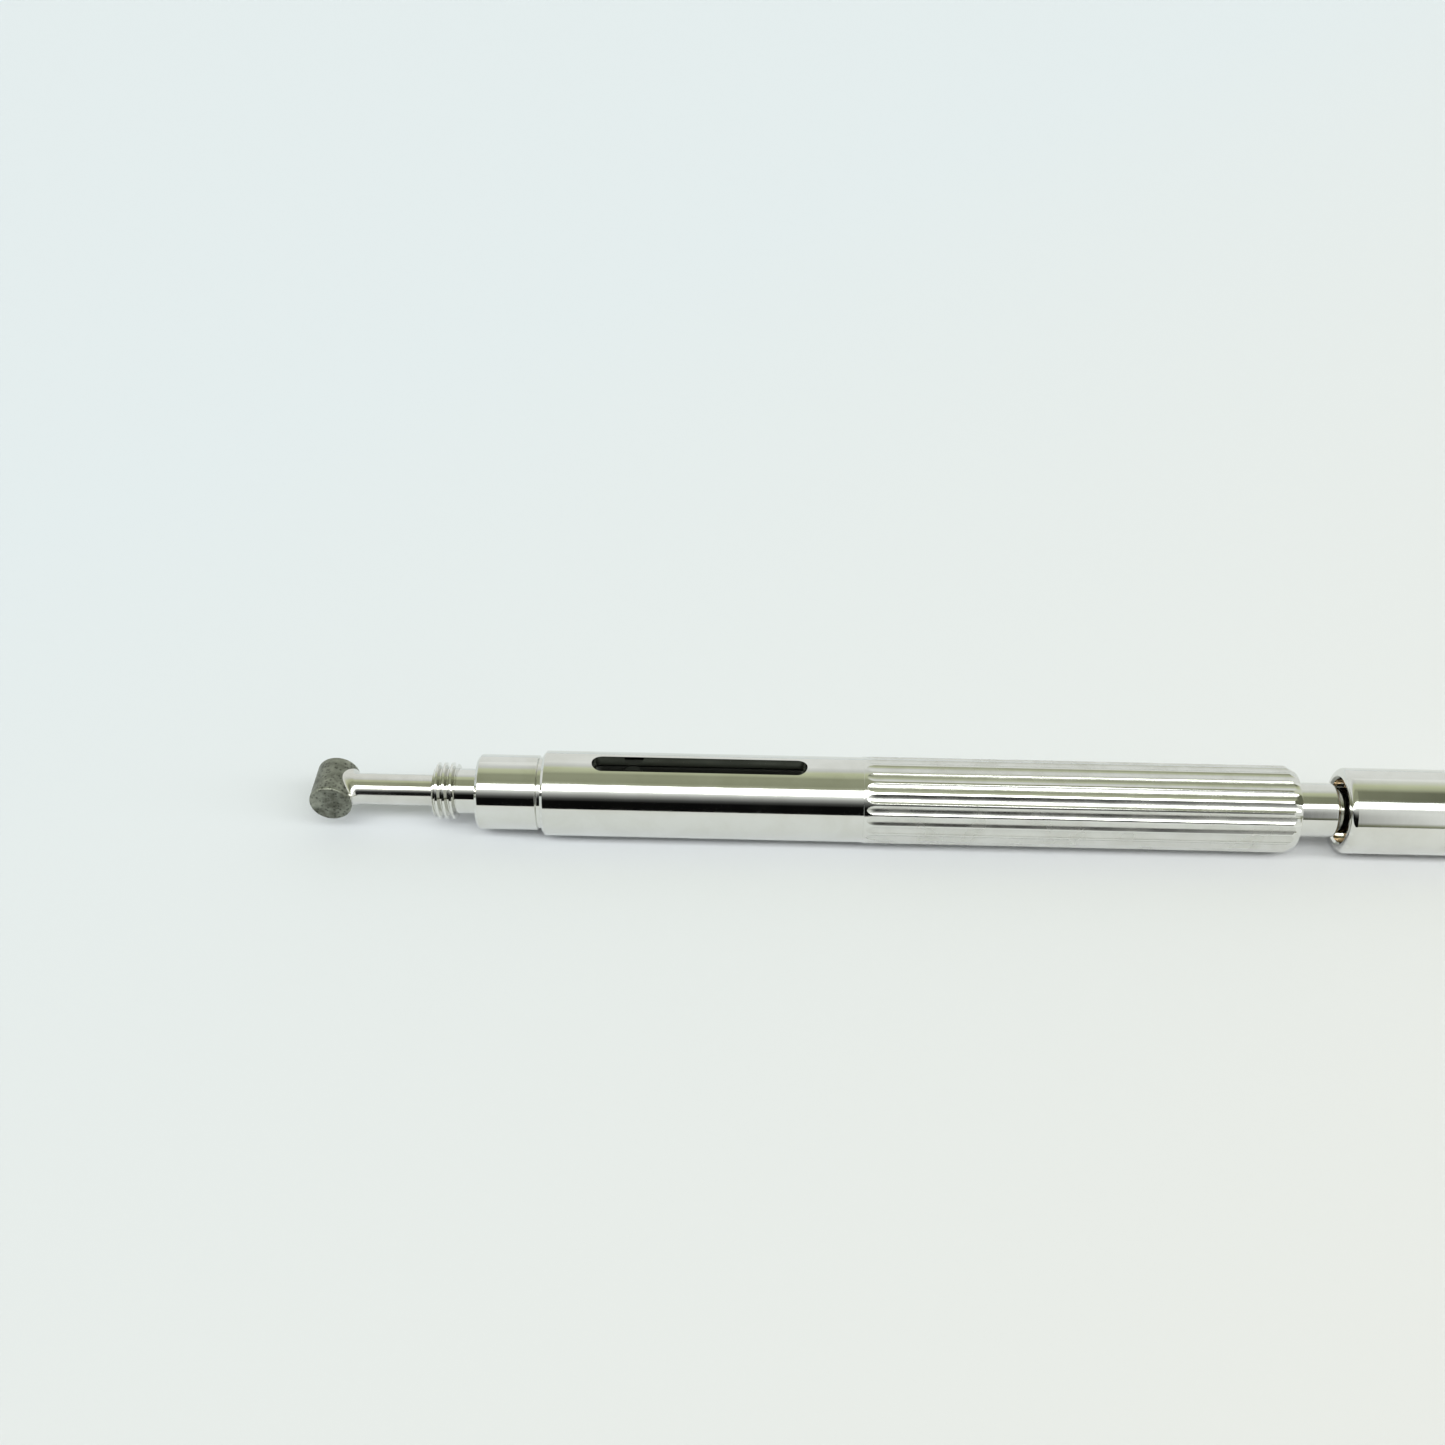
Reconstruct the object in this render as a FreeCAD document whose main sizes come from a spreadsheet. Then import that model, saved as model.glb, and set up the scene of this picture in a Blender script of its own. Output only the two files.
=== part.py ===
import FreeCAD, Part
import math
import os
import re
import Sketcher

# Watchmaker's pressure screwdriver, in millimetres. The tool's axis runs along X, with the bit at the -X
# end and the swivel cap at the +X end. +Z is up, and the window in the barrel faces it. The origin is
# under the middle of the tool, on the surface that the fluted grip rests on.

# Sizes that can be changed one at a time. Clearances are on the radius.
driving_sizes = {
    # bit
    "bit_reach": 14.9,             # barrel's front face to the middle of the bit head
    "head_diameter": 3.0,
    "head_length": 3.4,
    "head_edge_radius": 0.25,
    "shank_diameter": 2.2,
    "spigot_diameter": 1.4,
    "spigot_length": 0.8,
    "shank_hold": 5.8,             # length of the shank inside the spindle
    "shank_flat_length": 3.8,
    "shank_flat_depth": 0.25,
    # nose
    "nose_thread_diameter": 4.0,
    "nose_thread_length": 1.65,
    "undercut_diameter": 3.2,
    "undercut_length": 1.45,
    "collar_diameter": 5.3,
    "collar_length": 4.6,
    "edge_chamfer": 0.2,
    "nose_tail_length": 3.0,
    "nose_bore_clearance": 0.05,
    "bush_wall": 0.375,
    "bush_length": 6.6,
    "running_clearance": 0.025,
    # barrel
    "barrel_diameter": 6.0,
    "barrel_bore": 4.5,
    "smooth_length": 22.4,
    "grip_diameter": 6.1,
    "grip_length": 30.0,
    "flute_count": 24,
    "flute_depth": 0.1,
    "flute_cutter_radius": 0.8,
    "flute_runout": 0.5,           # plain ring left between the smooth barrel and the flutes
    "grip_end_fall": 0.35,
    "grip_end_length": 0.7,
    "window_length": 15.0,
    "window_width": 1.5,
    "window_setback": 3.5,
    "keyway_depth": 0.4,
    "keyway_length": 19.0,
    # spindle
    "spindle_length": 16.8,
    "spindle_clearance": 0.05,
    "stop_gap": 0.02,
    "socket_spare": 0.5,
    "tail_length": 5.0,
    "pin_diameter": 1.2,
    "pin_setback": 8.8,
    "pin_top": 1.2,                # height of the pin's buried end above the axis
    "pin_side_clearance": 0.05,
    "pin_end_clearance": 0.1,
    "set_screw_diameter": 1.4,
    "set_screw_setback": 3.3,
    "set_screw_sink": 0.1,
    "small_slot_width": 0.3,
    "small_slot_depth": 0.3,
    # spring and its plugs
    "washer_thickness": 0.3,
    "washer_clearance": 0.05,
    "spring_wire": 0.45,
    "spring_clearance": 0.275,
    "guide_clearance": 0.325,
    "spring_length": 15.7,
    "spring_turns": 15,
    "spring_end_gap": 0.05,
    "plug_length": 3.5,
    "lock_ring_length": 1.5,
    "lock_ring_bore": 2.0,
    "driver_slot_width": 0.6,
    "driver_slot_depth": 0.8,
    # swivel post and cap
    "post_seat_length": 7.0,
    "neck_diameter": 3.8,
    "neck_gap": 3.2,
    "neck_lead": 0.3,              # the neck ends this far in front of the cap's mouth
    "relief_diameter": 3.2,
    "cap_diameter": 6.0,
    "cap_shell_length": 11.8,
    "cap_bore": 5.0,
    "mouth_clearance": 0.35,
    "lip_length": 1.2,
    "mouth_chamfer": 0.15,
    "cap_bush_length": 2.0,
    "boss_length": 0.3,
    "sleeve_wall": 0.4,
    "stem_length": 3.0,
    "flange_length": 1.2,
    "cap_edge": 0.45,
    "dish_depth": 0.35,
    "dish_width": 4.6,
    # cap bearing
    "bearing_bore": 2.0,
    "bearing_width": 2.3,
    "inner_race_wall": 0.4,
    "outer_race_wall": 0.4,
    "ball_count": 7,
    "ball_diameter": 0.8,
    "groove_clearance": 0.02,
    "cage_thickness": 0.3,
    "cage_width": 1.4,
    "pocket_clearance": 0.03,
    "retainer_thickness": 0.3,
    "retainer_hole_clearance": 0.025,
    "journal_relief": 0.1,
    "bearing_screw_diameter": 1.2,
    "bearing_screw_grip": 2.6,
    "bearing_screw_head_diameter": 2.2,
    "bearing_screw_head_height": 0.7,
}

# Sizes and places that follow from the driving ones. The places are along X.
worked_out = {
    "barrel_length": "smooth_length + grip_length",
    "cap_length": "cap_shell_length + flange_length",
    "total_length": "head_diameter / 2 + bit_reach + barrel_length + neck_gap + cap_length",
    "flute_centre": "grip_diameter / 2 - flute_depth + flute_cutter_radius",
    "ridge_power": "grip_diameter ^ 2 / 4 + flute_centre ^ 2 - flute_cutter_radius ^ 2",
    "ridge_drop": "ridge_power / (2 * flute_centre)",
    "axis_height": "max(ridge_drop; barrel_diameter / 2; cap_diameter / 2)",
    "barrel_at": "head_diameter / 2 + bit_reach - total_length / 2",
    "head_at": "barrel_at - bit_reach",
    "shoulder_at": "sqrt((head_diameter / 2) ^ 2 - (shank_diameter / 2) ^ 2)",
    "nose_reach": "nose_thread_length + undercut_length + collar_length",
    "nose_length": "nose_reach + nose_tail_length",
    "nose_at": "barrel_at - nose_reach",
    "nose_bore_radius": "shank_diameter / 2 + nose_bore_clearance",
    "bush_bore_radius": "shank_diameter / 2 + running_clearance",
    "bush_radius": "bush_bore_radius + bush_wall",
    "bush_at": "barrel_at + nose_tail_length - bush_length",
    "spindle_at": "barrel_at + nose_tail_length + stop_gap",
    "spindle_radius": "barrel_bore / 2 - spindle_clearance",
    "shank_length": "spindle_at + shank_hold - head_at - shoulder_at",
    "flat_height": "shank_diameter / 2 - shank_flat_depth",
    "pin_reach": "barrel_bore / 2 + keyway_depth - pin_end_clearance",
    "keyway_width": "pin_diameter + 2 * pin_side_clearance",
    "washer_at": "spindle_at + spindle_length",
    "spring_at": "washer_at + washer_thickness",
    "coil_radius": "barrel_bore / 2 - spring_clearance - spring_wire / 2",
    "tail_radius": "coil_radius - spring_wire / 2 - guide_clearance",
    "plug_at": "spring_at + spring_length",
    "lock_ring_at": "plug_at + plug_length",
    "cap_at": "barrel_at + barrel_length + neck_gap",
    "cap_bush_at": "cap_at + lip_length",
    "bearing_at": "cap_bush_at + cap_bush_length",
    "retainer_at": "bearing_at + bearing_width",
    "plug_stem_at": "cap_at + cap_shell_length - stem_length",
    "post_at": "barrel_at + barrel_length - post_seat_length",
    "neck_length": "bearing_at - boss_length - post_at - post_seat_length",
    "journal_length": "bearing_width - journal_relief",
    "inner_race_radius": "bearing_bore / 2 + inner_race_wall",
    "outer_race_bore_radius": "cap_bore / 2 - outer_race_wall",
    "pitch_radius": "(inner_race_radius + outer_race_bore_radius) / 2",
    "groove_radius": "ball_diameter / 2 + groove_clearance",
    "pocket_radius": "ball_diameter / 2 + pocket_clearance",
    "screw_hole_length": "bearing_screw_grip + journal_relief",
}

doc = FreeCAD.newDocument("watch_screwdriver")
sheets = {}
nodes = []


def named(expression):
    """The expression with each alias's sheet in front of it."""
    def with_sheet(match):
        word = match.group(0)
        for sheet_name, cells in sheets.items():
            if word in cells:
                return f"{sheet_name}.{word}"
        return word
    return re.sub(r"[a-z][a-z_]*[a-z]", with_sheet, str(expression))


def value_of(expression):
    return float(doc.getObject("Sizes").evalExpression(named(expression)))


def fill_sheet(sheet_name, cells):
    sheet = doc.addObject("Spreadsheet::Sheet", sheet_name)
    sheets[sheet_name] = cells
    for row, (alias, content) in enumerate(cells.items(), start=1):
        formula = isinstance(content, str)
        sheet.set(f"A{row}", alias)
        sheet.setAlias(f"B{row}", alias)
        sheet.set(f"B{row}", "=" + local_names(sheet_name, content) if formula else str(content))
    doc.recompute()


def local_names(sheet_name, expression):
    """A formula in a sheet names that sheet's own cells without the sheet's name."""
    return named(expression).replace(sheet_name + ".", "")


def origin_plane(body, role):
    return next(plane for plane in body.Origin.OriginFeatures if plane.Role == role)


def new_sketch(body, name, role, offset=None):
    sketch = body.newObject("Sketcher::SketchObject", f"{body.Name}_{name}")
    sketch.AttachmentSupport = [(origin_plane(body, role), "")]
    sketch.MapMode = "FlatFace"
    if offset:
        sketch.setExpression("AttachmentOffset.Base.z", named(offset))
    return sketch


def bind(sketch, kind, *where, to):
    index = sketch.addConstraint(Sketcher.Constraint(kind, *where, value_of(to)))
    sketch.setExpression(f"Constraints[{index}]", named(to))


def outline(body, name, role, points):
    """A closed outline of straight edges. Each point's two distances from the origin are bound."""
    sketch = new_sketch(body, name, role)
    corners = [FreeCAD.Vector(value_of(across), value_of(up), 0) for across, up in points]
    for start, end in zip(corners, corners[1:] + corners[:1]):
        sketch.addGeometry(Part.LineSegment(start, end))
    for edge in range(len(points)):
        sketch.addConstraint(Sketcher.Constraint("Coincident", edge, 2, (edge + 1) % len(points), 1))
    for edge, (across, up) in enumerate(points):
        bind(sketch, "DistanceX", -1, 1, edge, 1, to=across)
        bind(sketch, "DistanceY", -1, 1, edge, 1, to=up)
    return sketch


def circle(body, name, role, across, up, radius, offset=None):
    sketch = new_sketch(body, name, role, offset)
    centre = FreeCAD.Vector(value_of(across), value_of(up), 0)
    sketch.addGeometry(Part.Circle(centre, FreeCAD.Vector(0, 0, 1), value_of(radius)))
    bind(sketch, "DistanceX", -1, 1, 0, 3, to=across)
    bind(sketch, "DistanceY", -1, 1, 0, 3, to=up)
    bind(sketch, "Radius", 0, to=radius)
    return sketch


def place(node, at, height="axis_height"):
    node.setExpression("Placement.Base.x", named(at))
    node.setExpression("Placement.Base.z", named(height))
    nodes.append(node)


def new_body(label, at):
    body = doc.addObject("PartDesign::Body", label)
    body.Label = label
    place(body, at)
    return body


def turned(label, at, points):
    """A piece turned about the X axis from an outline of (distance from its front, radius)."""
    body = new_body(label, at)
    profile = outline(body, "profile", "XZ_Plane", points)
    revolution = body.newObject("PartDesign::Revolution", f"{label}_turning")
    revolution.Profile = profile
    revolution.ReferenceAxis = (profile, ["H_Axis"])
    revolution.Angle = 360
    doc.recompute()
    return body


def tube(label, at, length, inner, outer):
    return turned(label, at, [(0, inner), (0, outer), (length, outer), (length, inner)])


def cut(body, name, kind, sketch, **settings):
    """A Pocket or a Groove, which has to take material away."""
    before = body.Shape.Volume
    feature = body.newObject(f"PartDesign::{kind}", f"{body.Name}_{name}")
    feature.Profile = sketch
    for setting, given in settings.items():
        if setting == "Length":
            feature.setExpression("Length", named(given))
        else:
            setattr(feature, setting, given)
    doc.recompute()
    if not body.Shape.Volume < before:
        raise ValueError(f"{feature.Name} cuts nothing")
    return feature


def groove(body, name, sketch):
    return cut(body, name, "Groove", sketch, ReferenceAxis=(sketch, ["H_Axis"]), Angle=360)


def driver_slot(body, width, depth, far_face, radius):
    """A screwdriver slot across a face that looks towards +X."""
    floor, mouth = f"{far_face} - {depth}", f"{far_face} + {depth}"
    left, right = f"-{width} / 2", f"{width} / 2"
    corners = [(floor, left), (mouth, left), (mouth, right), (floor, right)]
    sketch = outline(body, "slot_outline", "XY_Plane", corners)
    cut(body, "driver_slot", "Pocket", sketch, Length=f"4 * {radius}", Midplane=True)


def pattern_about_axis(body, feature, sketch, axis_name, count):
    pattern = body.newObject("PartDesign::PolarPattern", f"{feature.Name}_pattern")
    pattern.Originals = [feature]
    pattern.Axis = (sketch, [axis_name])
    pattern.Angle = 360
    pattern.setExpression("Occurrences", named(count))
    body.Tip = pattern
    doc.recompute()


def bit_head():
    """A short bar across the end of the shank, with rounded ends and a stepped hole for the shank."""
    body = new_body("bit_head", "head_at")
    section = circle(body, "section", "XZ_Plane", "0", "0", "head_diameter / 2")
    pad = body.newObject("PartDesign::Pad", "bit_head_bar")
    pad.Profile = section
    pad.Midplane = True
    pad.setExpression("Length", named("head_length"))
    doc.recompute()
    rims = [f"Edge{i}" for i, edge in enumerate(pad.Shape.Edges, start=1) if edge.Closed]
    fillet = body.newObject("PartDesign::Fillet", "bit_head_rims")
    fillet.Base = (pad, rims)
    fillet.setExpression("Radius", named("head_edge_radius"))
    doc.recompute()
    seat = outline(body, "seat", "XZ_Plane", [
        ("shoulder_at - spigot_length", "0"),
        ("shoulder_at - spigot_length", "spigot_diameter / 2"),
        ("shoulder_at", "spigot_diameter / 2"),
        ("shoulder_at", "shank_diameter / 2"),
        ("head_diameter", "shank_diameter / 2"),
        ("head_diameter", "0"),
    ])
    groove(body, "shank_seat", seat)


def bit_shank():
    """The rod that carries the bit head, with a spigot in front and a flat for the set screw behind."""
    body = turned("bit_shank", "head_at + shoulder_at - spigot_length", [
        ("0", "0"),
        ("0", "spigot_diameter / 2"),
        ("spigot_length", "spigot_diameter / 2"),
        ("spigot_length", "shank_diameter / 2"),
        ("spigot_length + shank_length", "shank_diameter / 2"),
        ("spigot_length + shank_length", "0"),
    ])
    flat = outline(body, "flat", "XZ_Plane", [
        ("spigot_length + shank_length - shank_flat_length", "flat_height"),
        ("spigot_length + shank_length - shank_flat_length", "shank_diameter"),
        ("spigot_length + shank_length + spigot_length", "shank_diameter"),
        ("spigot_length + shank_length + spigot_length", "flat_height"),
    ])
    cut(body, "flat_cut", "Pocket", flat, Length="2 * shank_diameter", Midplane=True)


def nose_collar():
    """Threaded nose, undercut and collar in one turning, with a tail that screws into the barrel."""
    collar_front = "nose_thread_length + undercut_length"
    turned("nose_collar", "nose_at", [
        ("0", "nose_bore_radius"),
        ("0", "nose_thread_diameter / 2 - edge_chamfer"),
        ("edge_chamfer", "nose_thread_diameter / 2"),
        ("nose_thread_length", "nose_thread_diameter / 2"),
        ("nose_thread_length", "undercut_diameter / 2"),
        (collar_front, "undercut_diameter / 2"),
        (collar_front, "collar_diameter / 2 - edge_chamfer"),
        (f"{collar_front} + edge_chamfer", "collar_diameter / 2"),
        ("nose_reach", "collar_diameter / 2"),
        ("nose_reach", "barrel_bore / 2"),
        ("nose_length", "barrel_bore / 2"),
        ("nose_length", "bush_radius"),
        ("nose_length - bush_length", "bush_radius"),
        ("nose_length - bush_length", "nose_bore_radius"),
    ])


def guide_bush():
    tube("guide_bush", "bush_at", "bush_length", "bush_bore_radius", "bush_radius")


def handle_barrel():
    """The tube that is held: smooth in front, fluted behind, with a window above and a keyway below."""
    body = turned("handle_barrel", "barrel_at", [
        ("0", "barrel_bore / 2"),
        ("0", "barrel_diameter / 2 - edge_chamfer"),
        ("edge_chamfer", "barrel_diameter / 2"),
        ("smooth_length", "barrel_diameter / 2"),
        ("smooth_length", "grip_diameter / 2"),
        ("barrel_length - grip_end_length", "grip_diameter / 2"),
        ("barrel_length", "grip_diameter / 2 - grip_end_fall"),
        ("barrel_length", "barrel_bore / 2"),
    ])
    window = new_sketch(body, "window", "XY_Plane")
    half = "window_width / 2"
    front = f"window_setback + {half}"
    rear = f"window_setback + window_length - {half}"
    left, right, reach = value_of(front), value_of(rear), value_of(half)
    quarter = math.pi / 2
    for across, side, first_angle in ((left, -reach, -quarter), (right, reach, quarter)):
        other = left + right - across
        start, finish = FreeCAD.Vector(across, side, 0), FreeCAD.Vector(other, side, 0)
        window.addGeometry(Part.LineSegment(start, finish))
        end = Part.Circle(FreeCAD.Vector(other, 0, 0), FreeCAD.Vector(0, 0, 1), reach)
        window.addGeometry(Part.ArcOfCircle(end, first_angle, first_angle + 2 * quarter))
    for edge, start, after, end in ((0, 2, 1, 1), (1, 2, 2, 1), (2, 2, 3, 1), (3, 2, 0, 1)):
        window.addConstraint(Sketcher.Constraint("Tangent", edge, start, after, end))
    for arc, middle in ((3, front), (1, rear)):
        bind(window, "DistanceX", -1, 1, arc, 3, to=middle)
    window.addConstraint(Sketcher.Constraint("PointOnObject", 3, 3, -1))
    window.addConstraint(Sketcher.Constraint("PointOnObject", 1, 3, -1))
    bind(window, "Radius", 3, to=half)
    cut(body, "window_cut", "Pocket", window, Length="barrel_diameter", Reversed=True)

    keyway = outline(body, "keyway", "XY_Plane", [
        ("0", "-keyway_width / 2"),
        ("keyway_length", "-keyway_width / 2"),
        ("keyway_length", "keyway_width / 2"),
        ("0", "keyway_width / 2"),
    ])
    cut(body, "keyway_cut", "Pocket", keyway, Length="barrel_bore / 2 + keyway_depth", Reversed=False)

    flute = circle(body, "flute", "YZ_Plane", "0", "flute_centre", "flute_cutter_radius",
                   offset="smooth_length + flute_runout")
    first = cut(body, "flute_cut", "Pocket", flute, Length="grip_length", Reversed=True)
    pattern_about_axis(body, first, flute, "N_Axis", "flute_count")


def blade_spindle():
    """Sliding spindle: a socket for the shank, holes for its pin and set screw, and a spring guide."""
    end = "spindle_length + tail_length"
    body = turned("blade_spindle", "spindle_at", [
        ("0", "shank_diameter / 2"),
        ("0", "spindle_radius - edge_chamfer"),
        ("edge_chamfer", "spindle_radius"),
        ("spindle_length", "spindle_radius"),
        ("spindle_length", "tail_radius"),
        (f"{end} - edge_chamfer", "tail_radius"),
        (end, "tail_radius - edge_chamfer"),
        (end, "0"),
        ("shank_hold + socket_spare", "0"),
        ("shank_hold + socket_spare", "shank_diameter / 2"),
    ])
    pin_hole = circle(body, "pin_hole", "XY_Plane", "pin_setback", "0", "pin_diameter / 2", "pin_top")
    cut(body, "pin_hole_cut", "Pocket", pin_hole, Length="pin_top + barrel_bore", Reversed=False)
    screw_hole = circle(body, "screw_hole", "XY_Plane", "set_screw_setback", "0", "set_screw_diameter / 2")
    cut(body, "screw_hole_cut", "Pocket", screw_hole, Length="barrel_bore", Reversed=True)


def upright_cylinder(name, radius, length):
    cylinder = doc.addObject("Part::Cylinder", name)
    cylinder.setExpression("Radius", named(radius))
    cylinder.setExpression("Height", named(length))
    return cylinder


def drive_pin():
    """Pin pressed into the spindle, whose tip runs in the barrel's keyway."""
    pin = upright_cylinder("drive_pin", "pin_diameter / 2", "pin_top + pin_reach")
    pin.Label = "drive_pin"
    place(pin, "spindle_at + pin_setback", "axis_height - pin_reach")


def bit_set_screw():
    """Slotted screw that presses on the shank's flat, below the surface of the spindle."""
    length = "spindle_radius - set_screw_sink - flat_height"
    screw = upright_cylinder("set_screw_blank", "set_screw_diameter / 2", length)
    slot = doc.addObject("Part::Box", "set_screw_slot")
    slot.setExpression("Length", named("2 * set_screw_diameter"))
    slot.setExpression("Width", named("small_slot_width"))
    slot.setExpression("Height", named("2 * small_slot_depth"))
    slot.setExpression("Placement.Base.x", named("-set_screw_diameter"))
    slot.setExpression("Placement.Base.y", named("-small_slot_width / 2"))
    slot.setExpression("Placement.Base.z", named(f"{length} - small_slot_depth"))
    slotted = doc.addObject("Part::Cut", "bit_set_screw")
    slotted.Label = "bit_set_screw"
    slotted.Base = screw
    slotted.Tool = slot
    place(slotted, "spindle_at + set_screw_setback", "axis_height + flat_height")


def spring_seat_washer():
    tube("spring_seat_washer", "washer_at", "washer_thickness",
         "tail_radius + washer_clearance", "spindle_radius")


def pressure_spring():
    """Open coil spring of round wire between the washer and the preload plug."""
    body = new_body("pressure_spring", "spring_at + spring_end_gap + spring_wire / 2")
    wire = circle(body, "wire", "XZ_Plane", "0", "coil_radius", "spring_wire / 2")
    coil = body.newObject("PartDesign::AdditiveHelix", "pressure_spring_coil")
    coil.Profile = wire
    coil.ReferenceAxis = (wire, ["H_Axis"])
    coil.Mode = "height-turns-angle"
    coil.setExpression("Height", named("spring_length - spring_wire - 2 * spring_end_gap"))
    coil.setExpression("Turns", named("spring_turns"))
    doc.recompute()


def preload_plug():
    """Screwed plug that the spring pushes against."""
    body = turned("preload_plug", "plug_at", [
        ("0", "0"),
        ("0", "barrel_bore / 2"),
        ("plug_length", "barrel_bore / 2"),
        ("plug_length", "0"),
    ])
    driver_slot(body, "driver_slot_width", "driver_slot_depth", "plug_length", "barrel_bore")


def plug_lock_ring():
    """Second screwed ring that locks the plug."""
    body = tube("plug_lock_ring", "lock_ring_at", "lock_ring_length",
                "lock_ring_bore / 2", "barrel_bore / 2")
    driver_slot(body, "driver_slot_width", "driver_slot_depth / 2", "lock_ring_length", "barrel_bore")


def swivel_post():
    """Post fixed in the barrel's rear end: seat, neck, relief, bearing journal and screw hole."""
    relief_start = "post_seat_length + neck_gap - neck_lead"
    relief_end = "post_seat_length + neck_gap + lip_length - running_clearance"
    neck_end = "post_seat_length + neck_length"
    journal_start = f"{neck_end} + boss_length"
    journal_end = f"{journal_start} + journal_length"
    hole_end = f"{journal_end} - screw_hole_length"
    turned("swivel_post", "post_at", [
        ("0", "0"),
        ("0", "barrel_bore / 2"),
        ("post_seat_length", "barrel_bore / 2"),
        ("post_seat_length", "neck_diameter / 2"),
        (relief_start, "neck_diameter / 2"),
        (relief_start, "relief_diameter / 2"),
        (relief_end, "relief_diameter / 2"),
        (relief_end, "neck_diameter / 2"),
        (neck_end, "neck_diameter / 2"),
        (neck_end, "inner_race_radius"),
        (journal_start, "inner_race_radius"),
        (journal_start, "bearing_bore / 2"),
        (journal_end, "bearing_bore / 2"),
        (journal_end, "bearing_screw_diameter / 2"),
        (hole_end, "bearing_screw_diameter / 2"),
        (hole_end, "0"),
    ])


def cap_shell():
    """The swivel cap's tube, whose mouth takes the neck with room to turn."""
    mouth = "neck_diameter / 2 + mouth_clearance"
    turned("cap_shell", "cap_at", [
        ("0", f"{mouth} + mouth_chamfer"),
        ("0", "cap_diameter / 2 - cap_edge"),
        ("cap_edge", "cap_diameter / 2"),
        ("cap_shell_length", "cap_diameter / 2"),
        ("cap_shell_length", "cap_bore / 2"),
        ("lip_length", "cap_bore / 2"),
        ("lip_length", mouth),
        ("mouth_chamfer", mouth),
    ])


def cap_bush():
    tube("cap_bush", "cap_bush_at", "cap_bush_length",
         "neck_diameter / 2 + running_clearance", "cap_bore / 2")


def bearing_race(label, inner, outer):
    """A bearing ring with the balls' groove turned in it."""
    body = tube(label, "bearing_at", "bearing_width", inner, outer)
    track = circle(body, "track", "XZ_Plane", "bearing_width / 2", "pitch_radius", "groove_radius")
    groove(body, "ball_groove", track)


def bearing_cage():
    """Thin ring between the races, with a round pocket for each ball."""
    body = tube("bearing_cage", "bearing_at + (bearing_width - cage_width) / 2", "cage_width",
                "pitch_radius - cage_thickness / 2", "pitch_radius + cage_thickness / 2")
    pocket = circle(body, "pocket", "XY_Plane", "cage_width / 2", "0", "pocket_radius")
    first = cut(body, "pocket_cut", "Pocket", pocket, Length="cap_bore", Reversed=True)
    pattern_about_axis(body, first, pocket, "H_Axis", "ball_count")


def bearing_balls():
    """The balls, evenly spaced on the pitch circle from the top."""
    balls = []
    for index in range(round(value_of("ball_count"))):
        angle = f"{index} * 360deg / ball_count"
        ball = doc.addObject("Part::Sphere", f"ball_{index + 1}")
        ball.setExpression("Radius", named("ball_diameter / 2"))
        ball.setExpression("Placement.Base.y", named(f"-pitch_radius * sin({angle})"))
        ball.setExpression("Placement.Base.z", named(f"pitch_radius * cos({angle})"))
        balls.append(ball)
    group = doc.addObject("Part::Compound", "bearing_balls")
    group.Label = "bearing_balls"
    group.Links = balls
    place(group, "bearing_at + bearing_width / 2")


def bearing_washer():
    tube("bearing_washer", "retainer_at", "retainer_thickness",
         "bearing_screw_diameter / 2 + retainer_hole_clearance", "inner_race_radius")


def bearing_screw():
    """Slotted screw in the end of the post."""
    grip = "bearing_screw_grip + retainer_thickness"
    far_face = "bearing_screw_grip + retainer_thickness + bearing_screw_head_height"
    body = turned("bearing_screw", "retainer_at - bearing_screw_grip", [
        ("0", "0"),
        ("0", "bearing_screw_diameter / 2"),
        (grip, "bearing_screw_diameter / 2"),
        (grip, "bearing_screw_head_diameter / 2"),
        (far_face, "bearing_screw_head_diameter / 2"),
        (far_face, "0"),
    ])
    driver_slot(body, "small_slot_width", "small_slot_depth", far_face, "bearing_screw_head_diameter")


def spacer_sleeve():
    """Sleeve that holds the outer race against the bush once the cap's plug is in."""
    tube("spacer_sleeve", "retainer_at", "plug_stem_at - retainer_at",
         "cap_bore / 2 - sleeve_wall", "cap_bore / 2")


def cap_plug():
    """Closed end of the cap, dished for the fingertip."""
    end = "stem_length + flange_length"
    dish_floor = f"{end} - dish_depth"
    turned("cap_plug", "plug_stem_at", [
        ("0", "0"),
        ("0", "cap_bore / 2"),
        ("stem_length", "cap_bore / 2"),
        ("stem_length", "cap_diameter / 2"),
        (f"{end} - cap_edge", "cap_diameter / 2"),
        (end, "cap_diameter / 2 - cap_edge"),
        (end, "dish_width / 2"),
        (dish_floor, "dish_width / 2 - 2 * dish_depth"),
        (dish_floor, "0"),
    ])


def check_and_export():
    """Stops on any failed object or bad shape, then writes one file for each node."""
    doc.recompute()
    for item in doc.Objects:
        if "Invalid" in item.State or "Error" in item.State:
            raise ValueError(f"{item.Name} failed: {item.State}")
    for node in nodes:
        shape = node.Shape
        if shape.isNull() or not shape.isValid() or not shape.Solids:
            raise ValueError(f"{node.Label} has no valid solid")
    os.makedirs("parts", exist_ok=True)
    for node in nodes:
        node.Shape.exportStep(f"parts/{node.Label}.step")
        print(f"{node.Label}: {len(node.Shape.Solids)} solid(s), {node.Shape.Volume:.3f} mm3")


fill_sheet("Sizes", driving_sizes)
fill_sheet("Places", worked_out)

bit_head()
bit_shank()
nose_collar()
guide_bush()
handle_barrel()
blade_spindle()
drive_pin()
bit_set_screw()
spring_seat_washer()
pressure_spring()
preload_plug()
plug_lock_ring()
swivel_post()
cap_shell()
cap_bush()
bearing_race("bearing_outer_race", "outer_race_bore_radius", "cap_bore / 2")
bearing_race("bearing_inner_race", "bearing_bore / 2", "inner_race_radius")
bearing_balls()
bearing_cage()
bearing_washer()
bearing_screw()
spacer_sleeve()
cap_plug()
check_and_export()
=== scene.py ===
import math

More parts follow.
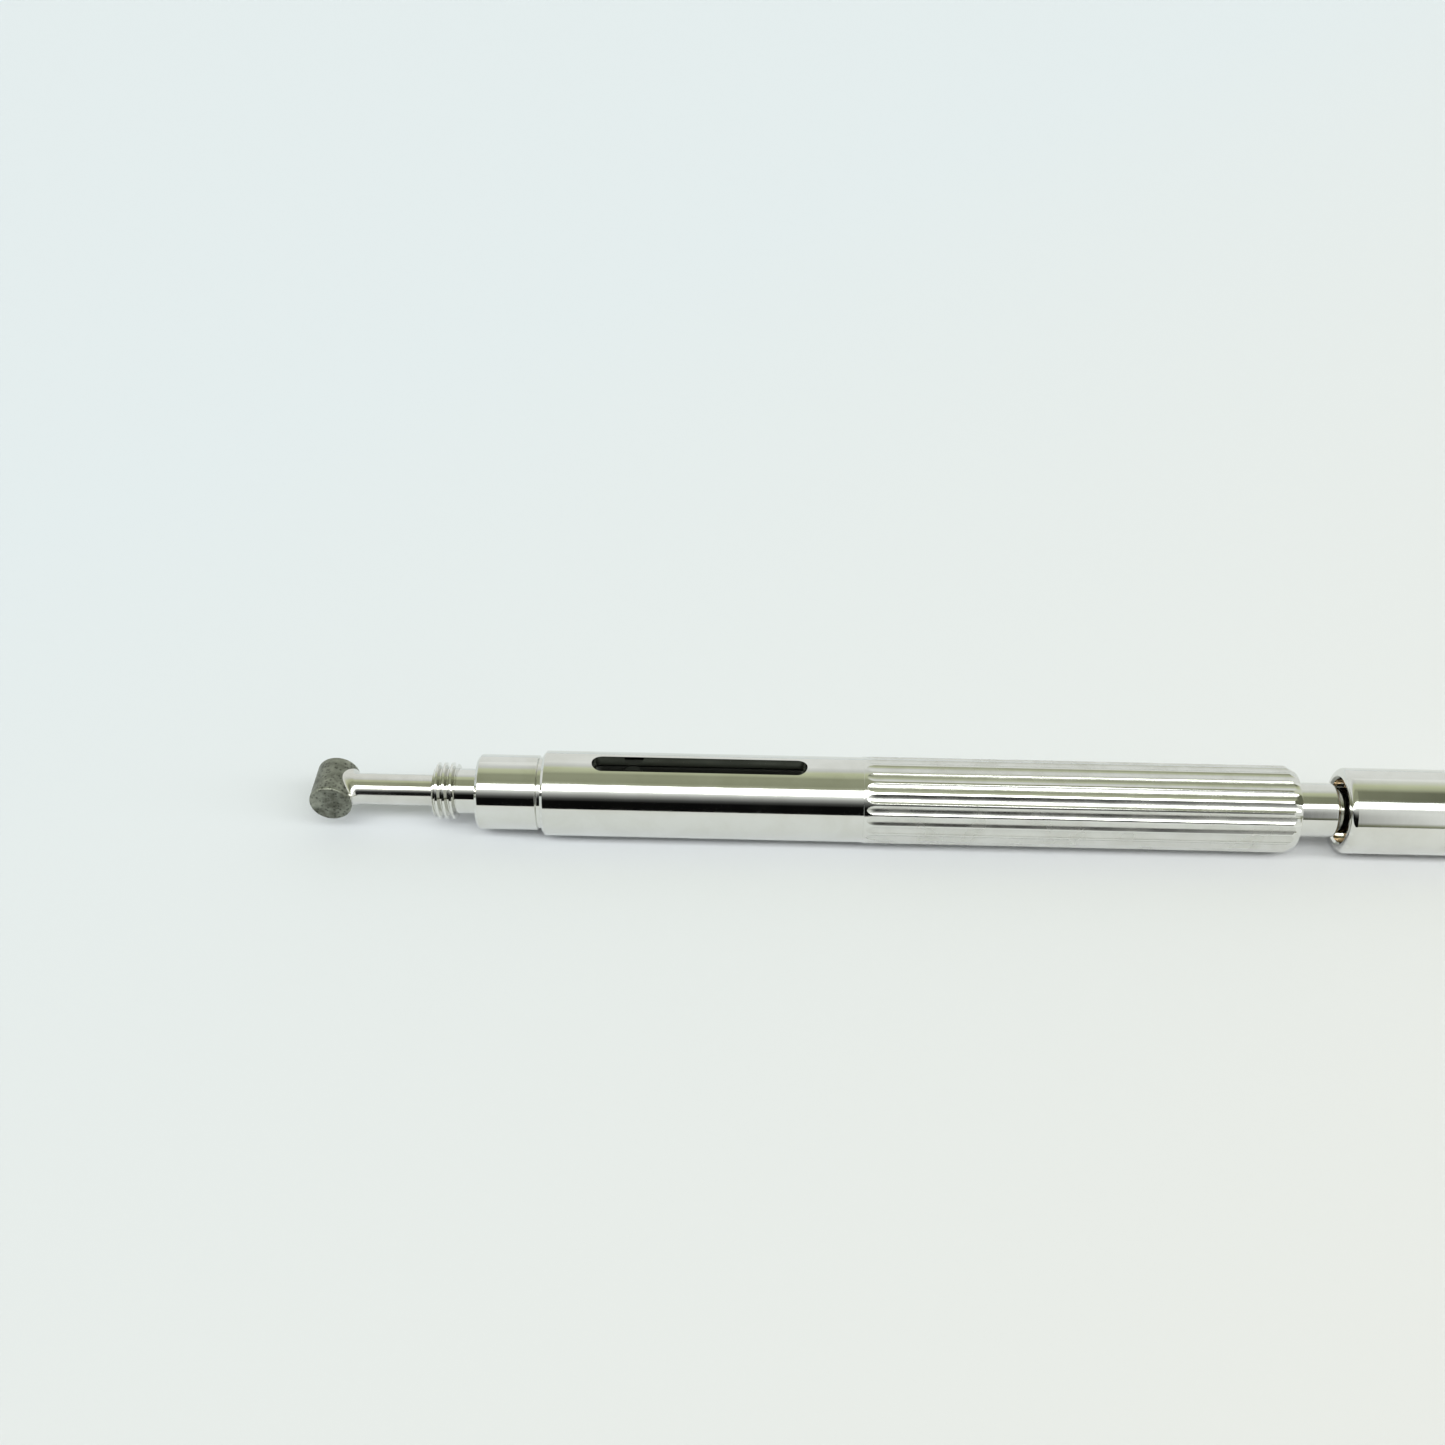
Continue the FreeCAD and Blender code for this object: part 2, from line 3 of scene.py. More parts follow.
import bmesh
import bpy
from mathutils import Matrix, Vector


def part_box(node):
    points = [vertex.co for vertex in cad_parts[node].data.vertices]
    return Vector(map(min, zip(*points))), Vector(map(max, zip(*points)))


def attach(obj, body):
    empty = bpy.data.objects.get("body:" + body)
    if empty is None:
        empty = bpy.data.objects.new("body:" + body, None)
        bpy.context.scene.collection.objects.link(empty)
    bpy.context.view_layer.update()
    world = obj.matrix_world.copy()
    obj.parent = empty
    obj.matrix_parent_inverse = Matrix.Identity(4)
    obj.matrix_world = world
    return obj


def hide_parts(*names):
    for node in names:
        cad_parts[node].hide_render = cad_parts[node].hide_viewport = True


# Watchmaker's pressure screwdriver. The pieces are modelled in millimetres along the tool's axis, which runs
# along X with the bit at the -X end, and are brought to metres when they are finished.
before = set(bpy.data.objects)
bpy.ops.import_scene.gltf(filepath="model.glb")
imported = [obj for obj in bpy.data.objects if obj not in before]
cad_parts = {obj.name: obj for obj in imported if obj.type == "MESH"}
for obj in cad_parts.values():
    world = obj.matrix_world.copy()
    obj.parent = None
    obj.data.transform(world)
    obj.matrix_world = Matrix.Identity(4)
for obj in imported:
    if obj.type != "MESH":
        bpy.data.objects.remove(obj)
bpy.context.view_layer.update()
mm = 1000
axisHeight = sum(corner.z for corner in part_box("nose_collar")) / 2 * mm
axisPoint = (0, 0, axisHeight)
past = 1          # how far a cutter reaches past what it cuts
fine = 0.01       # how near two points count as level


def span(node):
    # where a CAD node starts and ends along the axis, and its radius
    low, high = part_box(node)
    return low.x * mm, high.x * mm, (high.y - low.y) / 2 * mm


def deselectAll():
    if bpy.context.mode != "OBJECT":
        bpy.ops.object.mode_set(mode="OBJECT")
    bpy.ops.object.select_all(action="DESELECT")


def makeActive(piece):
    deselectAll()
    piece.select_set(True)
    bpy.context.view_layer.objects.active = piece


def applyPlace(piece):
    makeActive(piece)
    bpy.ops.object.transform_apply(location=True, rotation=True, scale=True)


def selectPoints(piece, wanted):
    makeActive(piece)
    bpy.ops.object.mode_set(mode="EDIT")
    bpy.ops.mesh.select_mode(type="VERT")
    bpy.ops.mesh.select_all(action="DESELECT")
    bpy.ops.object.mode_set(mode="OBJECT")
    for point in piece.data.vertices:
        point.select = wanted(point.co)
    bpy.ops.object.mode_set(mode="EDIT")


def selectEdges(piece, wanted):
    # picks the edges both of whose ends pass the test together
    makeActive(piece)
    bpy.ops.object.mode_set(mode="EDIT")
    bpy.ops.mesh.select_all(action="DESELECT")
    bpy.ops.mesh.select_mode(type="EDGE")
    bpy.ops.object.mode_set(mode="OBJECT")
    points = piece.data.vertices
    for edge in piece.data.edges:
        start, end = (points[index].co for index in edge.vertices)
        edge.select = wanted(start, end)
    bpy.ops.object.mode_set(mode="EDIT")


def softened(corners, steps=4):
    # each corner is (along, radius) or (along, radius, rounding); rounded ones become arcs
    points = []
    for index, corner in enumerate(corners):
        at = Vector(corner[:2])
        if len(corner) == 2:
            points.append(at)
            continue
        before = (Vector(corners[index - 1][:2]) - at).normalized()
        after = (Vector(corners[(index + 1) % len(corners)][:2]) - at).normalized()
        half = before.angle(after) / 2
        centre = at + (before + after).normalized() * corner[2] / math.sin(half)
        reach = corner[2] / math.tan(half)
        start, end = at + before * reach - centre, at + after * reach - centre
        first = math.atan2(start.y, start.x)
        turn = math.remainder(math.atan2(end.y, end.x) - first, 2 * math.pi)
        for step in range(steps + 1):
            angle = first + turn * step / steps
            points.append(centre + Vector((math.cos(angle), math.sin(angle))) * corner[2])
    return points


def turnPiece(name, corners, sides=144, closed=True, steps=4):
    # a ring is extruded and resized from corner to corner; a tube's outline closes on itself
    deselectAll()
    points = softened(corners, steps)
    along, radius = points[0]
    bpy.ops.mesh.primitive_circle_add(vertices=sides, radius=radius, fill_type="NOTHING",
                                      location=(along, 0, axisHeight), rotation=(0, math.pi / 2, 0))
    piece = bpy.context.active_object
    piece.name = piece.data.name = name
    applyPlace(piece)
    bpy.ops.object.mode_set(mode="EDIT")
    bpy.ops.mesh.select_all(action="SELECT")
    for nextAlong, nextRadius in points[1:] + (points[:1] if closed else []):
        bpy.ops.mesh.extrude_region_move(TRANSFORM_OT_translate={"value": (nextAlong - along, 0, 0)})
        growth = nextRadius / radius
        bpy.ops.transform.resize(value=(1, growth, growth), center_override=(nextAlong, 0, axisHeight))
        along, radius = nextAlong, nextRadius
    closeUp(piece)
    return piece


def closeUp(piece):
    # merges doubles, closes open ends and turns the faces outwards
    makeActive(piece)
    bpy.ops.object.mode_set(mode="EDIT")
    bpy.ops.mesh.select_all(action="SELECT")
    bpy.ops.mesh.remove_doubles(threshold=0.0005)
    bpy.ops.mesh.fill_holes(sides=0)
    bpy.ops.mesh.select_all(action="SELECT")
    bpy.ops.mesh.normals_make_consistent(inside=False)
    bpy.ops.object.mode_set(mode="OBJECT")


def combine(piece, tool, operation="DIFFERENCE", keepFinish=False):
    # a Boolean with the exact solver; the tool is used up, and its finish can stay on the faces it leaves
    makeActive(piece)
    modifier = piece.modifiers.new("combine", "BOOLEAN")
    modifier.operation = operation
    modifier.solver = "EXACT"
    modifier.object = tool
    modifier.material_mode = "TRANSFER" if keepFinish else "INDEX"
    bpy.ops.object.modifier_apply(modifier=modifier.name)
    bpy.data.objects.remove(tool)


def prism(name, sides, radius, low, high, at, stretch=0):
    # an upright round bar, drawn out along X into a slot's shape where stretch is given
    deselectAll()
    bpy.ops.mesh.primitive_cylinder_add(vertices=sides, radius=radius, depth=high - low,
                                        location=(at, 0, (low + high) / 2))
    bar = bpy.context.active_object
    bar.name = name
    applyPlace(bar)
    if stretch:
        selectPoints(bar, lambda point: point.x > at + radius * 0.01)
        bpy.ops.transform.translate(value=(stretch, 0, 0))
        bpy.ops.object.mode_set(mode="OBJECT")
    return bar


def block(name, low, high):
    deselectAll()
    middle = [(a + b) / 2 for a, b in zip(low, high)]
    bpy.ops.mesh.primitive_cube_add(size=1, location=middle)
    cube = bpy.context.active_object
    cube.name = name
    bpy.ops.transform.resize(value=[b - a for a, b in zip(low, high)])
    applyPlace(cube)
    return cube


def finishPiece(piece, node, body, material, crease=32):
    # smooths it, brings it to metres, gives it its finish and its body, and hides its CAD node
    makeActive(piece)
    bpy.ops.object.mode_set(mode="EDIT")
    bpy.ops.mesh.select_all(action="SELECT")
    bpy.ops.mesh.remove_doubles(threshold=0.0004)
    bpy.ops.mesh.dissolve_degenerate(threshold=0.0004)
    bpy.ops.object.mode_set(mode="OBJECT")
    bpy.ops.object.shade_smooth_by_angle(angle=math.radians(crease))
    weighted = piece.modifiers.new("weighted", "WEIGHTED_NORMAL")
    weighted.keep_sharp = True
    weighted.weight = 90
    bpy.ops.object.modifier_apply(modifier=weighted.name)
    bpy.ops.transform.resize(value=(1 / mm, 1 / mm, 1 / mm), center_override=(0, 0, 0))
    applyPlace(piece)
    if not piece.data.materials:
        piece.data.materials.append(material)
    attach(piece, body)
    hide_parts(node)
    print(f"{piece.name}: {len(piece.data.polygons)} faces")


def addNode(tree, kind, settings=None, **values):
    # settings are the node's own choices; values fill its inputs by name, with _ for a space
    node = tree.nodes.new(kind)
    for name, value in (settings or {}).items():
        setattr(node, name, value)
    for name, value in values.items():
        node.inputs[name.replace("_", " ")].default_value = value
    return node


def newGroup(name, inputs, outputs):
    group = bpy.data.node_groups.new(name, "ShaderNodeTree")
    for label, kind, value in inputs:
        socket = group.interface.new_socket(label, in_out="INPUT", socket_type=f"NodeSocket{kind}")
        if value is not None:
            socket.default_value = value
    for label, kind in outputs:
        group.interface.new_socket(label, in_out="OUTPUT", socket_type=f"NodeSocket{kind}")
    return group, group.nodes.new("NodeGroupInput"), group.nodes.new("NodeGroupOutput")


def placeGroup(tree, group, **values):
    node = addNode(tree, "ShaderNodeGroup", {"node_tree": group})
    for name, value in values.items():
        node.inputs[name.replace("_", " ")].default_value = value
    return node


def makeDrawnLines():
    # fine lines left by turning or polishing: a stretched noise, as a height and as a roughness mask
    group, given, result = newGroup("drawnLines", [
        ("Vector", "Vector", None), ("Stretch", "Vector", (1, 1, 1)), ("Scale", "Float", 1000.0),
    ], [("Height", "Float"), ("Mask", "Float")])
    mapping = addNode(group, "ShaderNodeMapping")
    lines = addNode(group, "ShaderNodeTexNoise", Detail=3.0, Roughness=0.6)
    broad = addNode(group, "ShaderNodeTexNoise", Scale=420.0, Detail=2.0)
    mask = addNode(group, "ShaderNodeMapRange", From_Min=0.35, From_Max=0.7)
    link = group.links.new
    link(given.outputs["Vector"], mapping.inputs["Vector"])
    link(given.outputs["Stretch"], mapping.inputs["Scale"])
    link(mapping.outputs[0], lines.inputs["Vector"])
    link(given.outputs["Scale"], lines.inputs["Scale"])
    link(given.outputs["Vector"], broad.inputs["Vector"])
    link(broad.outputs[0], mask.inputs["Value"])
    link(lines.outputs[0], result.inputs["Height"])
    link(mask.outputs[0], result.inputs["Mask"])
    return group


def makeHandling():
    # what use leaves on metal: a faint uneven film, small specks, and wear where the surface turns sharply
    group, given, result = newGroup("handling", [
        ("Vector", "Vector", None), ("Clean", "Color", None), ("Film", "Color", None),
        ("Film Amount", "Float", 0.3), ("Film Scale", "Float", 300.0),
        ("Speck", "Color", (0.05, 0.05, 0.04, 1)), ("Speck Amount", "Float", 0.5),
        ("Wear", "Color", (0.9, 0.9, 0.86, 1)), ("Wear Amount", "Float", 0.5),
    ], [("Color", "Color"), ("Film Mask", "Float")])
    link = group.links.new
    film = addNode(group, "ShaderNodeTexNoise", Detail=5.0, Roughness=0.6, Distortion=0.4)
    filmRange = addNode(group, "ShaderNodeMapRange", From_Min=0.42, From_Max=0.72)
    filmAmount = addNode(group, "ShaderNodeMath", {"operation": "MULTIPLY"})
    filmMix = addNode(group, "ShaderNodeMix", {"data_type": "RGBA"})
    cells = addNode(group, "ShaderNodeTexVoronoi", Scale=900.0)
    speckRange = addNode(group, "ShaderNodeMapRange", From_Min=0.10, From_Max=0.04)
    sparse = addNode(group, "ShaderNodeTexNoise", Scale=260.0, Detail=1.0)
    sparseRange = addNode(group, "ShaderNodeMapRange", From_Min=0.62, From_Max=0.68)
    speckMask = addNode(group, "ShaderNodeMath", {"operation": "MULTIPLY"})
    speckAmount = addNode(group, "ShaderNodeMath", {"operation": "MULTIPLY"})
    speckMix = addNode(group, "ShaderNodeMix", {"data_type": "RGBA"})
    surface = group.nodes.new("ShaderNodeNewGeometry")
    edges = addNode(group, "ShaderNodeMapRange", From_Min=0.52, From_Max=0.60)
    wearAmount = addNode(group, "ShaderNodeMath", {"operation": "MULTIPLY"})
    wearMix = addNode(group, "ShaderNodeMix", {"data_type": "RGBA"})
    for texture in (film, cells, sparse):
        link(given.outputs["Vector"], texture.inputs["Vector"])
    link(given.outputs["Film Scale"], film.inputs["Scale"])
    link(film.outputs[0], filmRange.inputs["Value"])
    link(filmRange.outputs[0], filmAmount.inputs[0])
    link(given.outputs["Film Amount"], filmAmount.inputs[1])
    link(filmAmount.outputs[0], filmMix.inputs["Factor"])
    link(given.outputs["Clean"], filmMix.inputs["A"])
    link(given.outputs["Film"], filmMix.inputs["B"])
    link(cells.outputs["Distance"], speckRange.inputs["Value"])
    link(sparse.outputs[0], sparseRange.inputs["Value"])
    link(speckRange.outputs[0], speckMask.inputs[0])
    link(sparseRange.outputs[0], speckMask.inputs[1])
    link(speckMask.outputs[0], speckAmount.inputs[0])
    link(given.outputs["Speck Amount"], speckAmount.inputs[1])
    link(speckAmount.outputs[0], speckMix.inputs["Factor"])
    link(filmMix.outputs["Result"], speckMix.inputs["A"])
    link(given.outputs["Speck"], speckMix.inputs["B"])
    link(surface.outputs["Pointiness"], edges.inputs["Value"])
    link(edges.outputs[0], wearAmount.inputs[0])
    link(given.outputs["Wear Amount"], wearAmount.inputs[1])
    link(wearAmount.outputs[0], wearMix.inputs["Factor"])
    link(speckMix.outputs["Result"], wearMix.inputs["A"])
    link(given.outputs["Wear"], wearMix.inputs["B"])
    link(wearMix.outputs["Result"], result.inputs["Color"])
    link(filmRange.outputs[0], result.inputs["Film Mask"])
    return group


drawnLines = makeDrawnLines()
handling = makeHandling()


def makeMetal(name, look):
    # a metal finish: colour with film, specks and wear, roughness between two values, and drawn lines
    material = bpy.data.materials.new(name)
    material.use_nodes = True
    tree = material.node_tree
    link = tree.links.new
    shader = tree.nodes["Principled BSDF"]
    shader.inputs["Metallic"].default_value = 1
    place = tree.nodes.new("ShaderNodeTexCoord")
    used = placeGroup(tree, handling, Clean=look["colour"], Film=look["film"], Film_Amount=look["filmAmount"],
                      Film_Scale=look["filmScale"], Speck_Amount=look["specks"], Wear=look["wear"],
                      Wear_Amount=look["wearAmount"])
    lines = placeGroup(tree, drawnLines, Stretch=look["stretch"], Scale=look["lineScale"])
    roughness = addNode(tree, "ShaderNodeMapRange", To_Min=look["roughness"][0], To_Max=look["roughness"][1])
    bump = addNode(tree, "ShaderNodeBump", Strength=look["lineStrength"], Distance=look["lineHeight"])
    link(place.outputs["Object"], used.inputs["Vector"])
    link(place.outputs["Object"], lines.inputs["Vector"])
    link(used.outputs["Color"], shader.inputs["Base Color"])
    link(lines.outputs["Mask"], roughness.inputs["Value"])
    link(roughness.outputs[0], shader.inputs["Roughness"])
    link(lines.outputs["Height"], bump.inputs["Height"])
    link(bump.outputs[0], shader.inputs["Normal"])
    return material


brightPlateLook = {
    "colour": (0.76, 0.76, 0.73, 1), "film": (0.58, 0.57, 0.50, 1), "filmAmount": 0.35, "filmScale": 330.0,
    "specks": 0.25, "wear": (0.90, 0.90, 0.86, 1), "wearAmount": 0.4, "stretch": (1.0, 0.12, 0.12),
    "lineScale": 2600.0, "lineStrength": 0.05, "lineHeight": 0.00001, "roughness": (0.05, 0.10),
}
flutePlateLook = {
    "colour": (0.74, 0.74, 0.71, 1), "film": (0.50, 0.49, 0.43, 1), "filmAmount": 0.45, "filmScale": 420.0,
    "specks": 0.3, "wear": (0.88, 0.88, 0.84, 1), "wearAmount": 0.3, "stretch": (0.12, 1.0, 1.0),
    "lineScale": 2600.0, "lineStrength": 0.15, "lineHeight": 0.00001, "roughness": (0.20, 0.30),
}
polishedSteelLook = {
    "colour": (0.74, 0.73, 0.69, 1), "film": (0.50, 0.48, 0.41, 1), "filmAmount": 0.35, "filmScale": 500.0,
    "specks": 0.3, "wear": (0.88, 0.88, 0.85, 1), "wearAmount": 0.3, "stretch": (1.0, 0.15, 0.15),
    "lineScale": 3200.0, "lineStrength": 0.18, "lineHeight": 0.00001, "roughness": (0.10, 0.18),
}
# black oxide finish, its colour made darker than the finish alone so that it paints the shade inside the
# barrel's slot
oxideDarkenedForShadeLook = {
    "colour": (0.003, 0.005, 0.004, 1), "film": (0.006, 0.007, 0.005, 1), "filmAmount": 0.6,
    "filmScale": 700.0, "specks": 0.2, "wear": (0.04, 0.04, 0.035, 1), "wearAmount": 0.3,
    "stretch": (1.0, 0.2, 0.2),
    "lineScale": 2400.0, "lineStrength": 0.25, "lineHeight": 0.00001, "roughness": (0.28, 0.42),
}
bronzeLook = {
    "colour": (0.55, 0.33, 0.16, 1), "film": (0.26, 0.14, 0.06, 1), "filmAmount": 0.6, "filmScale": 600.0,
    "specks": 0.6, "wear": (0.72, 0.50, 0.28, 1), "wearAmount": 0.5, "stretch": (1.0, 0.2, 0.2),
    "lineScale": 2200.0, "lineStrength": 0.3, "lineHeight": 0.00001, "roughness": (0.28, 0.40),
}
brassLook = {
    "colour": (0.78, 0.58, 0.27, 1), "film": (0.42, 0.28, 0.10, 1), "filmAmount": 0.5, "filmScale": 520.0,
    "specks": 0.3, "wear": (0.90, 0.74, 0.42, 1), "wearAmount": 0.5, "stretch": (1.0, 0.2, 0.2),
    "lineScale": 2400.0, "lineStrength": 0.25, "lineHeight": 0.00001, "roughness": (0.16, 0.28),
}
springSteelLook = {
    "colour": (0.42, 0.42, 0.41, 1), "film": (0.22, 0.19, 0.14, 1), "filmAmount": 0.5, "filmScale": 800.0,
    "specks": 0.3, "wear": (0.62, 0.62, 0.60, 1), "wearAmount": 0.4, "stretch": (1.0, 1.0, 1.0),
    "lineScale": 4000.0, "lineStrength": 0.2, "lineHeight": 0.00001, "roughness": (0.20, 0.32),
}
bearingSteelLook = {
    "colour": (0.70, 0.70, 0.71, 1), "film": (0.50, 0.50, 0.50, 1), "filmAmount": 0.2, "filmScale": 600.0,
    "specks": 0.1, "wear": (0.82, 0.82, 0.82, 1), "wearAmount": 0.3, "stretch": (1.0, 0.1, 0.1),
    "lineScale": 5000.0, "lineStrength": 0.08, "lineHeight": 0.00001, "roughness": (0.04, 0.09),
}
sinteredGreyLook = {
    "colour": (0.225, 0.235, 0.195, 1), "dark": (0.105, 0.108, 0.085, 1), "light": (0.36, 0.37, 0.31, 1),
    "blotchScale": 900.0, "grainScale": 5200.0, "pitScale": 3800.0, "grainHeight": 0.00003,
    "roughness": (0.36, 0.55),
}


def makeSintered(name, look):
    # pressed and fired metal powder: blotches, a fine grain and scattered pits, which are bumped in and
    # darkened with painted shade
    material = bpy.data.materials.new(name)
    material.use_nodes = True
    tree = material.node_tree
    link = tree.links.new
    shader = tree.nodes["Principled BSDF"]
    shader.inputs["Metallic"].default_value = 0.85
    place = tree.nodes.new("ShaderNodeTexCoord")
    blotches = addNode(tree, "ShaderNodeTexNoise", Scale=look["blotchScale"], Detail=4.0, Roughness=0.6)
    blotchRamp = tree.nodes.new("ShaderNodeValToRGB")
    blotchRamp.color_ramp.elements[0].position = 0.36
    blotchRamp.color_ramp.elements[0].color = look["dark"]
    blotchRamp.color_ramp.elements[1].position = 0.52
    blotchRamp.color_ramp.elements[1].color = look["colour"]
    pale = blotchRamp.color_ramp.elements.new(0.74)
    pale.color = look["light"]
    grain = addNode(tree, "ShaderNodeTexNoise", Scale=look["grainScale"], Detail=3.0, Roughness=0.7)
    pits = addNode(tree, "ShaderNodeTexVoronoi", Scale=look["pitScale"])
    pitDepthAndShade = addNode(tree, "ShaderNodeMapRange", From_Min=0.16, From_Max=0.42)
    # painted shade: the colour is darkened at the pits' centres
    paintedPitShade = addNode(tree, "ShaderNodeMix", {"data_type": "RGBA", "blend_type": "MULTIPLY"}, Factor=0.55)
    height = addNode(tree, "ShaderNodeMath", {"operation": "MULTIPLY"})
    bump = addNode(tree, "ShaderNodeBump", Strength=0.55, Distance=look["grainHeight"])
    roughness = addNode(tree, "ShaderNodeMapRange", To_Min=look["roughness"][0], To_Max=look["roughness"][1])
    for texture in (blotches, grain, pits):
        link(place.outputs["Object"], texture.inputs["Vector"])
    link(blotches.outputs[0], blotchRamp.inputs[0])
    link(pits.outputs["Distance"], pitDepthAndShade.inputs["Value"])
    link(blotchRamp.outputs[0], paintedPitShade.inputs["A"])
    link(pitDepthAndShade.outputs[0], paintedPitShade.inputs["B"])
    link(paintedPitShade.outputs["Result"], shader.inputs["Base Color"])
    link(grain.outputs[0], height.inputs[0])
    link(pitDepthAndShade.outputs[0], height.inputs[1])
    link(height.outputs[0], bump.inputs["Height"])
    link(bump.outputs[0], shader.inputs["Normal"])
    link(grain.outputs[0], roughness.inputs["Value"])
    link(roughness.outputs[0], shader.inputs["Roughness"])
    return material


brightPlate = makeMetal("brightPlate", brightPlateLook)
flutePlate = makeMetal("flutePlate", flutePlateLook)
polishedSteel = makeMetal("polishedSteel", polishedSteelLook)
oxideDarkenedForShade = makeMetal("oxideDarkenedForShade", oxideDarkenedForShadeLook)
bronze = makeMetal("bronze", bronzeLook)
brass = makeMetal("brass", brassLook)
springSteel = makeMetal("springSteel", springSteelLook)
bearingSteel = makeMetal("bearingSteel", bearingSteelLook)
sinteredGrey = makeSintered("sinteredGrey", sinteredGreyLook)

keptNodes = {
    bronze: ["guide_bush", "cap_bush"],
    # these pieces carry black oxide darkened to paint shade
    oxideDarkenedForShade: ["blade_spindle", "drive_pin", "bit_set_screw", "bearing_screw"],
    springSteel: ["pressure_spring"],
    brass: ["preload_plug", "plug_lock_ring", "bearing_cage", "spacer_sleeve"],
    bearingSteel: ["bearing_outer_race", "bearing_inner_race", "bearing_balls"],
    polishedSteel: ["spring_seat_washer", "bearing_washer"],
}
for material, names in keptNodes.items():
    for name in names:
        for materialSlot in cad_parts[name].material_slots:
            materialSlot.material = material
print("finishes made")


barrelSizes = {
    "edge": 0.2, "edgeRounding": 0.06, "smoothLength": 22.4, "smoothRadius": 3.0, "bore": 2.25,
    "boreChamfer": 0.05, "sides": 192,
    "gripRadius": 3.05, "gripStepRounding": 0.03, "gripRounding": 0.1, "gripFall": 0.35,
    "gripFallLength": 0.7, "endRounding": 0.05,
    "slotFront": 3.5, "slotLength": 15.0, "slotWidth": 1.5, "slotSides": 64, "slotTop": 4,
    "keyWidth": 1.3, "keyDepth": 0.4, "keyLength": 19.0, "keyTop": 1,
    "flutes": 24, "fluteDepth": 0.10, "fluteStart": 0.9, "cutterRadius": 0.8, "cutterSides": 96,
    "runOut": 2.5, "runOutTurn": 40, "runOutSteps": 20,
}


def makeFluteCutters(sizes, gripStart, gripEnd, gripRadius, firstFlute):
    # a round bar along the grip whose front end curves up and out, copied round to every second flute
    centre = gripRadius - sizes["fluteDepth"] + sizes["cutterRadius"]
    start = gripStart + sizes["fluteStart"]
    pivot = (start, 0, axisHeight + gripRadius - sizes["fluteDepth"] + sizes["runOut"])
    deselectAll()
    bpy.ops.mesh.primitive_circle_add(vertices=sizes["cutterSides"], radius=sizes["cutterRadius"],
                                      fill_type="NOTHING", location=(gripEnd + past, 0, axisHeight + centre),
                                      rotation=(0, math.pi / 2, 0))
    cutter = bpy.context.active_object
    cutter.name = "fluteCutter"
    applyPlace(cutter)
    bpy.ops.object.mode_set(mode="EDIT")
    bpy.ops.mesh.select_all(action="SELECT")
    bpy.ops.mesh.extrude_region_move(TRANSFORM_OT_translate={"value": (start - gripEnd - past, 0, 0)})
    bpy.ops.mesh.spin(steps=sizes["runOutSteps"], angle=math.radians(sizes["runOutTurn"]), center=pivot,
                      axis=(0, -1, 0))
    closeUp(cutter)
    copies = [cutter]
    for index in range(1, sizes["flutes"] // 2):
        copy = cutter.copy()
        copy.data = cutter.data.copy()
        bpy.context.collection.objects.link(copy)
        copies.append(copy)
    pitch = 2 * math.pi / sizes["flutes"]
    for index, copy in enumerate(copies):
        makeActive(copy)
        bpy.ops.transform.rotate(value=pitch * (2 * index + firstFlute), orient_axis="X",
                                 center_override=axisPoint)
    deselectAll()
    for copy in copies:
        copy.select_set(True)
    bpy.context.view_layer.objects.active = cutter
    bpy.ops.object.join()
    applyPlace(cutter)
    cutter.data.materials.append(flutePlate)
    return cutter


def makeBarrel(sizes):
    front, rear, _ = span("handle_barrel")
    gripStart = front + sizes["smoothLength"]
    gripRadius = sizes["gripRadius"]
    barrel = turnPiece("flutedBarrel", [
        (front, sizes["bore"] + sizes["boreChamfer"]),
        (front, sizes["smoothRadius"] - sizes["edge"], sizes["edgeRounding"]),
        (front + sizes["edge"], sizes["smoothRadius"], sizes["edgeRounding"]),
        (gripStart, sizes["smoothRadius"]), (gripStart, gripRadius, sizes["gripStepRounding"]),
        (rear - sizes["gripFallLength"], gripRadius, sizes["gripRounding"]),
        (rear, gripRadius - sizes["gripFall"], sizes["endRounding"]),
        (rear, sizes["bore"] + sizes["boreChamfer"]), (rear - sizes["boreChamfer"], sizes["bore"]),
        (front + sizes["boreChamfer"], sizes["bore"]),
    ], sides=sizes["sides"])
    barrel.data.materials.append(brightPlate)
    for first in (0, 1):
        combine(barrel, makeFluteCutters(sizes, gripStart, rear, gripRadius, first), keepFinish=True)
    reach = sizes["slotWidth"] / 2
    slotCutter = prism("slotCutter", sizes["slotSides"], reach, axisHeight, axisHeight + sizes["slotTop"],
                       front + sizes["slotFront"] + reach, sizes["slotLength"] - sizes["slotWidth"])
    combine(barrel, slotCutter)
    keyFloor = axisHeight - sizes["bore"] - sizes["keyDepth"]
    keyCutter = block("keyCutter", (front - past, -sizes["keyWidth"] / 2, keyFloor),
                      (front + sizes["keyLength"], sizes["keyWidth"] / 2, axisHeight - sizes["keyTop"]))
    combine(barrel, keyCutter)
    finishPiece(barrel, "handle_barrel", "handle", brightPlate)


noseSizes = {
    "bore": 1.15, "bushSeat": 1.5, "bushLength": 6.6, "threadLength": 1.65, "threadRadius": 2.0,
    "threadPitch": 0.5, "threadDepth": 0.34, "crest": 0.15, "root": 0.04, "threadChamfer": 0.22,
    "threadTurns": 9, "threadSides": 96, "threadEndLength": 0.1, "threadEndFall": 0.15, "boreChamfer": 0.08,
    "undercutLength": 1.45, "undercutRadius": 1.6, "undercutRounding": 0.06,
    "collarLength": 4.6, "collarRadius": 2.65, "collarEdge": 0.2, "faceRounding": 0.05,
    "collarRounding": 0.07,
    "groovePlace": 0.36, "grooveDepth": 0.12, "grooveSlope": 0.1, "lipRounding": 0.04, "grooveRounding": 0.08,
    "tailRadius": 2.25, "overlap": 0.05,
}


